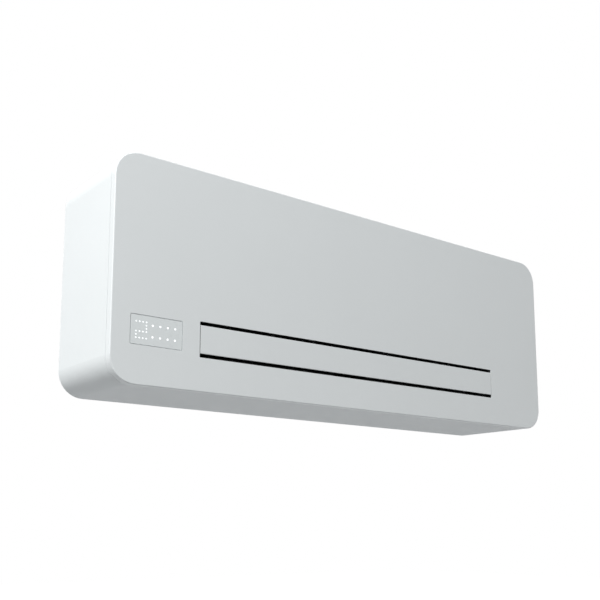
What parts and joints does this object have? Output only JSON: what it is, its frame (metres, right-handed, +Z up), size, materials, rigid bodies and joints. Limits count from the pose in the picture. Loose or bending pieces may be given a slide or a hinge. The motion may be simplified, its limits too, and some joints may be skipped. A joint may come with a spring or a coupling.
{
  "type": "wall-mounted fan coil unit",
  "caption": "Flat white wall fan coil unit with rounded corners, an outlet slot with a motor-driven flap, turning air vanes, a touch display and lift-out filters on top.",
  "frame": {"origin": "middle of the four wall screws, in the wall plane", "axes": "+Z up, +X to the viewer's right, the front faces -Y and the wall is on +Y"},
  "size_m": [0.9, 0.165, 0.325],
  "materials": {
    "white_paint": "satin white",
    "white_plastic": "satin white",
    "galvanised": "galvanised sheet",
    "steel": "plain steel",
    "aluminium": "plain",
    "copper": "drawn copper",
    "brass": "plain",
    "black_plastic": "matt",
    "grey_plastic": "matt",
    "black_rubber": "matt",
    "board_green": "circuit board",
    "light_white": "small lamps",
    "window_clear": "smooth"
  },
  "bodies": {
    "unit": {"air_sensor": "black_plastic", "air_vent": "brass", "back_panel": "galvanised", "bearing_bush": "black_rubber", "cable_grommet": "black_rubber", "casing": "white_plastic", "coil_end_plates": "galvanised", "coil_fins": "aluminium", "coil_tubes": "copper", "control_board": "board_green", "control_box": "grey_plastic", "control_box_lid": "grey_plastic", "cover_clips": "grey_plastic", "display_board": "board_green", "display_holder": "white_plastic", "display_lights": "light_white", "display_window": "window_clear", "drain_hose": "black_rubber", "drip_tray": "black_plastic", "fan_bearing": "steel", "fan_motor": "steel", "fan_scroll": "black_plastic", "flap_bushes": "grey_plastic", "flap_motor": "steel", "flow_pipe": "copper", "flow_union": "brass", "front_cover": "white_paint", "intake_frame": "white_plastic", "left_bulkhead": "galvanised", "motor_grommets": "black_rubber", "outlet_duct": "black_plastic", "outlet_seal": "black_rubber", "return_pipe": "copper", "right_bulkhead": "galvanised", "screws": "steel", "terminal_block": "black_plastic", "valve_actuator": "grey_plastic", "vane_rail": "black_plastic", "wall_plate": "galvanised", "water_valve": "brass"},
    "fan": {"fan_impeller": "black_plastic", "fan_shafts": "steel"},
    "flap": {"flap_panel": "white_plastic", "flap_arms": "white_plastic", "flap_shafts": "steel"},
    "left_filter": {"left_filter_grille": "white_plastic", "left_filter_net": "black_plastic"},
    "right_filter": {"right_filter_grille": "white_plastic", "right_filter_net": "black_plastic"},
    "left_vane_1": {"left_vane_1": "black_plastic"},
    "left_vane_2": {"left_vane_2": "black_plastic"},
    "left_vane_3": {"left_vane_3": "black_plastic"},
    "left_vane_4": {"left_vane_4": "black_plastic"},
    "left_link_bar": {"left_link_bar": "black_plastic"},
    "right_vane_1": {"right_vane_1": "black_plastic"},
    "right_vane_2": {"right_vane_2": "black_plastic"},
    "right_vane_3": {"right_vane_3": "black_plastic"},
    "right_vane_4": {"right_vane_4": "black_plastic"},
    "right_link_bar": {"right_link_bar": "black_plastic"}
  },
  "joints": [
    {"name": "fan_spin", "type": "hinge", "parent": "unit", "child": "fan", "pos_m": [0, -0.084, -0.0385], "axis": [1, 0, 0], "continuous": true},
    {"name": "flap_swing", "type": "hinge", "parent": "unit", "child": "flap", "pos_m": [0, -0.153, -0.0873], "axis": [-1, 0, 0], "range_deg": [0, 90]},
    {"name": "left_filter_lift", "type": "slide", "parent": "unit", "child": "left_filter", "axis": [0, 0, 1], "range_m": [0, 0.06]},
    {"name": "right_filter_lift", "type": "slide", "parent": "unit", "child": "right_filter", "axis": [0, 0, 1], "range_m": [0, 0.06]},
    {"name": "left_vane_1_turn", "type": "hinge", "parent": "unit", "child": "left_vane_1", "pos_m": [-0.03906, -0.118, -0.1085], "axis": [0, 0, 1], "range_deg": [-35, 35]},
    {"name": "left_vane_2_turn", "type": "hinge", "parent": "unit", "child": "left_vane_2", "pos_m": [-0.11719, -0.118, -0.1085], "axis": [0, 0, 1], "range_deg": [-35, 35]},
    {"name": "left_vane_3_turn", "type": "hinge", "parent": "unit", "child": "left_vane_3", "pos_m": [-0.19531, -0.118, -0.1085], "axis": [0, 0, 1], "range_deg": [-35, 35]},
    {"name": "left_vane_4_turn", "type": "hinge", "parent": "unit", "child": "left_vane_4", "pos_m": [-0.27344, -0.118, -0.1085], "axis": [0, 0, 1], "range_deg": [-35, 35]},
    {"name": "left_link_swing", "type": "hinge", "parent": "left_vane_1", "child": "left_link_bar", "pos_m": [-0.03906, -0.1255, -0.1085], "axis": [0, 0, 1], "range_deg": [-35, 35]},
    {"name": "right_vane_1_turn", "type": "hinge", "parent": "unit", "child": "right_vane_1", "pos_m": [0.03906, -0.118, -0.1085], "axis": [0, 0, 1], "range_deg": [-35, 35]},
    {"name": "right_vane_2_turn", "type": "hinge", "parent": "unit", "child": "right_vane_2", "pos_m": [0.11719, -0.118, -0.1085], "axis": [0, 0, 1], "range_deg": [-35, 35]},
    {"name": "right_vane_3_turn", "type": "hinge", "parent": "unit", "child": "right_vane_3", "pos_m": [0.19531, -0.118, -0.1085], "axis": [0, 0, 1], "range_deg": [-35, 35]},
    {"name": "right_vane_4_turn", "type": "hinge", "parent": "unit", "child": "right_vane_4", "pos_m": [0.27344, -0.118, -0.1085], "axis": [0, 0, 1], "range_deg": [-35, 35]},
    {"name": "right_link_swing", "type": "hinge", "parent": "right_vane_1", "child": "right_link_bar", "pos_m": [0.03906, -0.1255, -0.1085], "axis": [0, 0, 1], "range_deg": [-35, 35]}
  ],
  "couplings": [
    {"joint": "left_vane_2_turn", "follows": "left_vane_1_turn", "ratio": 1},
    {"joint": "left_vane_3_turn", "follows": "left_vane_1_turn", "ratio": 1},
    {"joint": "left_vane_4_turn", "follows": "left_vane_1_turn", "ratio": 1},
    {"joint": "left_link_swing", "follows": "left_vane_1_turn", "ratio": -1},
    {"joint": "right_vane_2_turn", "follows": "right_vane_1_turn", "ratio": 1},
    {"joint": "right_vane_3_turn", "follows": "right_vane_1_turn", "ratio": 1},
    {"joint": "right_vane_4_turn", "follows": "right_vane_1_turn", "ratio": 1},
    {"joint": "right_link_swing", "follows": "right_vane_1_turn", "ratio": -1}
  ]
}
